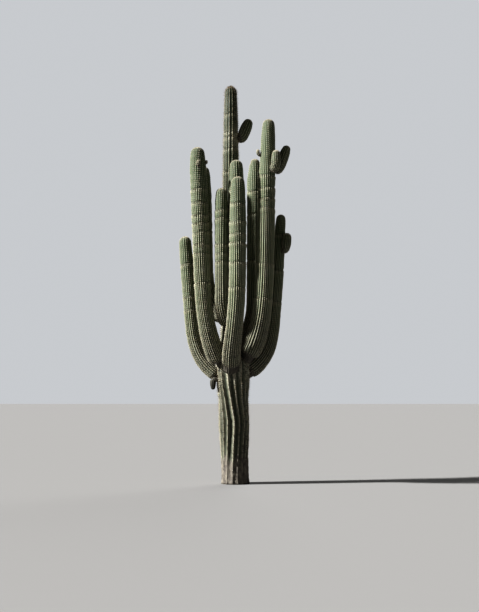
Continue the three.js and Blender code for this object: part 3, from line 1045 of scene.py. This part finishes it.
def tufts(spots, wild):
    """The ways that the spines of every areole point, and how long they are."""
    count = len(spots["here"])
    out, along, around = (spots[key][:, None, :] for key in ("out", "along", "around"))
    spin = 2 * math.pi * (np.arange(RING_SPINES)[None] + wild.random((count, 1))) / RING_SPINES
    spin = (spin + wild.normal(0, ANGLE_STRAY, spin.shape))[..., None]
    tip = spots["tip"][:, None]
    rise = (RING_RISE + wild.normal(0, ANGLE_STRAY, spin.shape[:2]) + TIP_RISE * tip)[..., None]
    ring = np.cos(rise) * (np.cos(spin) * along + np.sin(spin) * around) + np.sin(rise) * out
    droop = OLD_DROOP + TIP_LIFT * tip + wild.normal(0, DROOP_STRAY, (count, LONG_SPINES))
    stray = wild.normal(0, SIDE_STRAY, (count, LONG_SPINES))
    long = out + droop[..., None] * along + stray[..., None] * around
    ways = unit(np.concatenate([ring, long], 1))
    kinds = np.array([RING_LENGTH] * RING_SPINES + [LONG_LENGTH] * LONG_SPINES)
    worn = WORN_SHARE + (1 - WORN_SHARE) * ease(spots["height"], *WORN_BAND)[:, None]
    lengths = kinds[None] * wild.uniform(*SPINE_SIZES, (count, len(kinds))) * worn
    return ways, lengths * (1 + TIP_GROWTH * tip)


def needles(roots, ways, lengths):
    """The four corners of every needle, three round its root and one at its point."""
    helper = np.where(np.abs(ways[:, 2:3]) < STEEP, [[0.0, 0.0, 1.0]], [[1.0, 0.0, 0.0]])
    first = unit(np.cross(ways, helper))
    second = np.cross(ways, first)
    turns = 2 * math.pi * np.arange(3) / 3
    rim = [SPINE_RADIUS * (math.cos(turn) * first + math.sin(turn) * second) for turn in turns]
    return np.stack([*(roots + corner for corner in rim), roots + ways * lengths[:, None]], 1)


spine_colours = [
    dry_material("spine_ash", (0.42, 0.4, 0.36), 0.5, 0.8),
    dry_material("spine_tan", (0.46, 0.38, 0.27), 0.5, 0.8),
    dry_material("spine_straw", (0.34, 0.28, 0.18), 0.45, 0.75),
    dry_material("spine_brown", (0.2, 0.15, 0.09), 0.45, 0.75),
]
TIP_TINT = 1.6  # how far the tip, and each metre of height, shift a tuft along the colours
HEIGHT_TINT = 0.28
TINT_STRAY = (0.4, 0.7)
LAST_TINT = 3.4
spine_wild = np.random.default_rng(53)
for name, spots in areoles.items():
    ways, lengths = tufts(spots, spine_wild)
    per_tuft = ways.shape[1]
    roots = np.repeat(spots["here"], per_tuft, 0)
    corners = needles(roots, ways.reshape(-1, 3), lengths.ravel())
    shift = TIP_TINT * spots["tip"] + HEIGHT_TINT * spots["height"]
    shift = shift + spine_wild.normal(*TINT_STRAY, len(spots["here"]))
    tints = np.repeat(np.clip(shift, 0, LAST_TINT).astype(int), per_tuft)
    spines = small_things(f"{name}_spines", corners, NEEDLE, tints, spine_colours)
    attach(spines, "root")

# The studio is a wide pale floor under a pale, even sky, with a strong lamp on the left and a
# weak, very broad one behind the plant on the right, for its far side.
FLOOR_SIZE = 3000.0
FLOOR_COLOUR = (0.21, 0.207, 0.202)
FLOOR_ROUGHNESS = 0.9
SKY_COLOUR = (0.8, 0.82, 0.85)
SKY_FILL = 0.07  # how strongly the sky lights the plant
SKY_SEEN = 0.45  # how bright it looks behind the plant
KEY_BEARING = 190.5
KEY_ELEVATION = 32
KEY_STRENGTH = 8.0
KEY_SOFTNESS = math.radians(4)
FILL_BEARING = 68
FILL_ELEVATION = 28
FILL_STRENGTH = 1.3
FILL_SOFTNESS = math.radians(45)

bpy.ops.object.select_all(action="DESELECT")
bpy.ops.mesh.primitive_plane_add(size=FLOOR_SIZE, location=(0, 0, 0))
floor = bpy.context.object
floor.name = "floor"
floor_paint = bpy.data.materials.new("floor_paint")
floor_paint.use_nodes = True
floor_shader = floor_paint.node_tree.nodes["Principled BSDF"]
floor_shader.inputs["Base Color"].default_value = (*FLOOR_COLOUR, 1)
floor_shader.inputs["Roughness"].default_value = FLOOR_ROUGHNESS
floor_shader.inputs["Specular IOR Level"].default_value = 0.0
floor.data.materials.append(floor_paint)

sky = bpy.data.worlds.new("sky")
sky.use_nodes = True
sky.node_tree.nodes["Background"].inputs["Color"].default_value = (*SKY_COLOUR, 1)
looked_at = sky.node_tree.nodes.new("ShaderNodeLightPath").outputs["Is Camera Ray"]
strength = spread(sky.node_tree, looked_at, 0.0, 1.0, SKY_FILL, SKY_SEEN)
sky.node_tree.links.new(strength, sky.node_tree.nodes["Background"].inputs["Strength"])
bpy.context.scene.world = sky


def lamp(bearing, elevation, strength, softness):
    """A sun lamp that shines from a bearing and an elevation in degrees."""
    flat, up = math.radians(bearing), math.radians(elevation)
    source = Vector((math.cos(up) * math.cos(flat), math.cos(up) * math.sin(flat), math.sin(up)))
    bpy.ops.object.light_add(type="SUN", rotation=source.to_track_quat("Z", "Y").to_euler())
    bpy.context.object.data.energy = strength
    bpy.context.object.data.angle = softness


lamp(KEY_BEARING, KEY_ELEVATION, KEY_STRENGTH, KEY_SOFTNESS)
lamp(FILL_BEARING, FILL_ELEVATION, FILL_STRENGTH, FILL_SOFTNESS)
